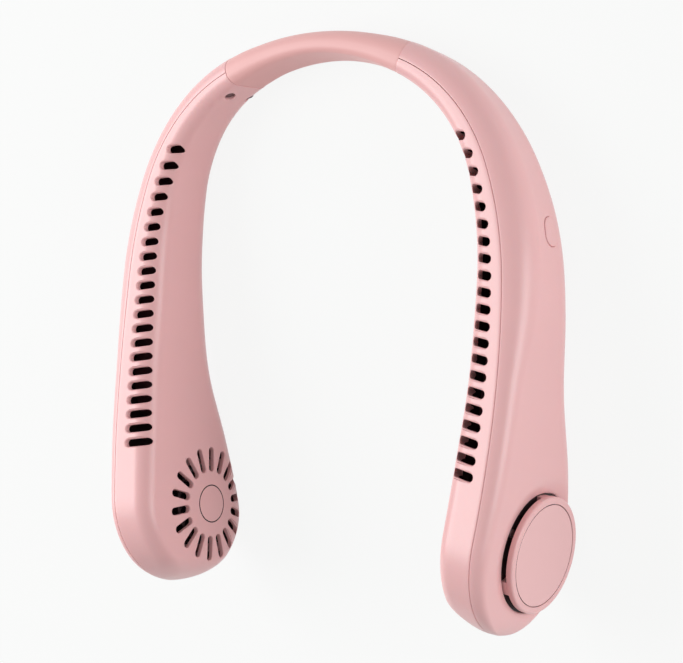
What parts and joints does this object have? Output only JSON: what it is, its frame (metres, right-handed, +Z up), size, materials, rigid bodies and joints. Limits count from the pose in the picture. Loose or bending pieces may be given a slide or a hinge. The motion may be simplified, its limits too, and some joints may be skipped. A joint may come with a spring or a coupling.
{
  "type": "neck fan",
  "caption": "Wearable neck fan: a soft band joins two hollow arms with rows of air slots, each ending in a flat pod with a grille, an inner blower and a raised round cover.",
  "frame": {"origin": "centre of the bounding box's base, the surface that the fan lies on", "axes": "+Z up with the fan lying on the back edges of its band and pods, +Y from the pods' tips towards the band behind the neck, +X towards the arm that carries the button"},
  "size_m": [0.188, 0.2098, 0.06],
  "materials": {
    "soft_silicone": "matte",
    "spring_steel": "satin",
    "wire_cover": "satin",
    "black_nylon": "matte",
    "screw_steel": "satin",
    "pink_plastic": "satin",
    "plate_plastic": "gloss",
    "cell_wrap": "satin",
    "motor_winding": "satin",
    "bearing_bronze": "satin",
    "shaft_steel": "satin",
    "wheel_plastic": "satin",
    "board_green": "satin",
    "port_steel": "satin"
  },
  "bodies": {
    "band": {"band_sleeve": "soft_silicone", "band_spring_strip": "spring_steel", "band_wires": "wire_cover"},
    "left_arm": {"left_band_coupler": "black_nylon", "left_coupler_screws": "screw_steel", "left_inner_shell": "pink_plastic", "left_outer_shell": "pink_plastic", "left_air_divider": "black_nylon", "left_battery": "cell_wrap", "left_motor_base": "black_nylon", "left_motor_stator": "motor_winding", "left_motor_bearing": "bearing_bronze", "left_motor_screws": "screw_steel", "left_intake_plate": "black_nylon", "left_outer_disc": "pink_plastic", "left_disc_plate": "plate_plastic", "left_shell_screws": "screw_steel", "left_wiring": "wire_cover"},
    "right_arm": {"right_band_coupler": "black_nylon", "right_coupler_screws": "screw_steel", "right_inner_shell": "pink_plastic", "right_outer_shell": "pink_plastic", "right_air_divider": "black_nylon", "right_battery": "cell_wrap", "right_motor_base": "black_nylon", "right_motor_stator": "motor_winding", "right_motor_bearing": "bearing_bronze", "right_motor_screws": "screw_steel", "right_intake_plate": "black_nylon", "right_outer_disc": "pink_plastic", "right_disc_plate": "plate_plastic", "right_shell_screws": "screw_steel", "right_wiring": "wire_cover", "control_board": "board_green", "board_screws": "screw_steel", "tactile_switch": "black_nylon", "charging_port": "port_steel"},
    "left_blower": {"left_motor_shaft": "shaft_steel", "left_motor_rotor": "shaft_steel", "left_blower_wheel": "wheel_plastic"},
    "right_blower": {"right_motor_shaft": "shaft_steel", "right_motor_rotor": "shaft_steel", "right_blower_wheel": "wheel_plastic"},
    "button": {"power_button": "pink_plastic"}
  },
  "joints": [
    {"name": "left_arm_spread", "type": "hinge", "parent": "band", "child": "left_arm", "pos_m": [-0.03997, 0.09796, 0.00978], "axis": [0, -0.282, -0.9594], "range_deg": [0, 15], "stiffness_Nm_per_rad": 2.3, "springref_deg": -5.16},
    {"name": "right_arm_spread", "type": "hinge", "parent": "band", "child": "right_arm", "pos_m": [0.03997, 0.09796, 0.00978], "axis": [0, 0.282, 0.9594], "range_deg": [0, 15], "stiffness_Nm_per_rad": 2.3, "springref_deg": -5.16},
    {"name": "left_blower_spin", "type": "hinge", "parent": "left_arm", "child": "left_blower", "pos_m": [-0.0817, -0.07729, 0.02377], "axis": [-0.9903, -0.133, 0.0391], "continuous": true},
    {"name": "right_blower_spin", "type": "hinge", "parent": "right_arm", "child": "right_blower", "pos_m": [0.0817, -0.07729, 0.02377], "axis": [0.9903, -0.133, 0.0391], "continuous": true},
    {"name": "button_press", "type": "slide", "parent": "right_arm", "child": "button", "axis": [-0.9811, -0.1855, 0.0545], "range_m": [0, 0.0006], "stiffness_N_per_m": 800, "springref_m": -0.0012}
  ]
}
